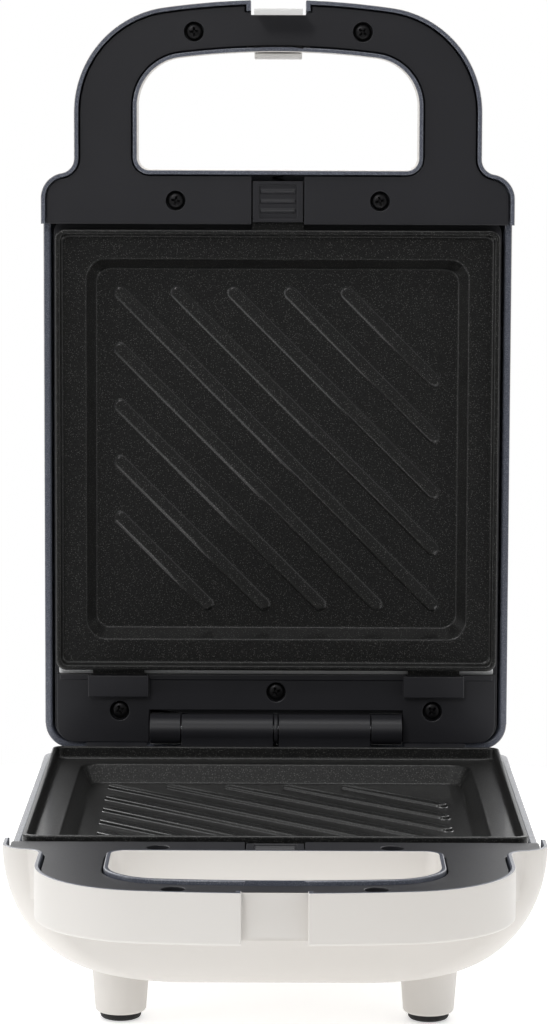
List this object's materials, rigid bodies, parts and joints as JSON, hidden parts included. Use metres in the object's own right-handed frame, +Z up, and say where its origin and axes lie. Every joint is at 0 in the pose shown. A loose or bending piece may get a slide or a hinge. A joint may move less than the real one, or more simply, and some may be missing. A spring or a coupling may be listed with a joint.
{
  "type": "sandwich toaster",
  "caption": "Hinged sandwich toaster standing open, with ribbed cooking plates, looped handles, a rocker latch and short feet.",
  "frame": {"origin": "centre of the footprint of the open toaster, on the surface it stands on", "axes": "+Z up, +Y from the handle to the hinge and the open lid, +X along the hinge pin to the right seen from the handle"},
  "size_m": [0.149, 0.2694, 0.2892],
  "materials": {
    "cream_plastic": "satin, finely moulded",
    "charcoal_plastic": "fine matt texture",
    "nonstick_coating": "speckled non-stick coating",
    "bright_sheet": "bright pressed sheet",
    "heater_sheath": "heat-darkened steel tube",
    "plated_steel": "plated",
    "thermostat_body": "plated can",
    "black_screw": "blackened",
    "ceramic_white": "glazed",
    "wire_sleeve": "woven glass sleeve",
    "black_rubber": "matt",
    "lens_red": "translucent",
    "lamp_glass": "clear"
  },
  "bodies": {
    "base": {"lower_shell": "cream_plastic", "lower_frame": "charcoal_plastic", "lower_plate": "nonstick_coating", "lower_reflector": "bright_sheet", "lower_heater": "heater_sheath", "lower_heater_clamps": "plated_steel", "lower_thermostat": "thermostat_body", "thermal_fuse": "ceramic_white", "lower_clip_spring": "plated_steel", "lower_frame_screws": "black_screw", "terminal_block": "ceramic_white", "lower_wiring": "wire_sleeve", "cord_gland": "black_rubber", "foot_pads": "black_rubber", "hinge_pin": "plated_steel"},
    "lid": {"upper_shell": "cream_plastic", "upper_frame": "charcoal_plastic", "upper_plate": "nonstick_coating", "upper_reflector": "bright_sheet", "upper_heater": "heater_sheath", "upper_heater_clamps": "plated_steel", "upper_thermostat": "thermostat_body", "upper_clip_spring": "plated_steel", "upper_frame_screws": "black_screw", "upper_wiring": "wire_sleeve", "pilot_lens": "lens_red", "pilot_lamp": "lamp_glass", "latch_pin": "plated_steel", "latch_spring": "plated_steel"},
    "latch": {"latch": "cream_plastic"},
    "lower_clip": {"lower_release_clip": "charcoal_plastic"},
    "upper_clip": {"upper_release_clip": "charcoal_plastic"}
  },
  "joints": [
    {"name": "lid_hinge", "type": "hinge", "parent": "base", "child": "lid", "pos_m": [0, 0.0962, 0.0584], "axis": [1, 0, 0], "range_deg": [0, 90]},
    {"name": "latch_rock", "type": "hinge", "parent": "lid", "child": "latch", "pos_m": [0, 0.1033, 0.2796], "axis": [-1, 0, 0], "range_deg": [0, 8], "stiffness_Nm_per_rad": 0.05, "springref_deg": -11.46},
    {"name": "lower_clip_slide", "type": "slide", "parent": "base", "child": "lower_clip", "axis": [0, -1, 0], "range_m": [0, 0.0017], "stiffness_N_per_m": 300, "springref_m": -0.003, "deforming": ["lower_clip_spring"]},
    {"name": "upper_clip_slide", "type": "slide", "parent": "lid", "child": "upper_clip", "axis": [0, 0, 1], "range_m": [0, 0.0017], "stiffness_N_per_m": 300, "springref_m": -0.003, "deforming": ["upper_clip_spring"]}
  ]
}
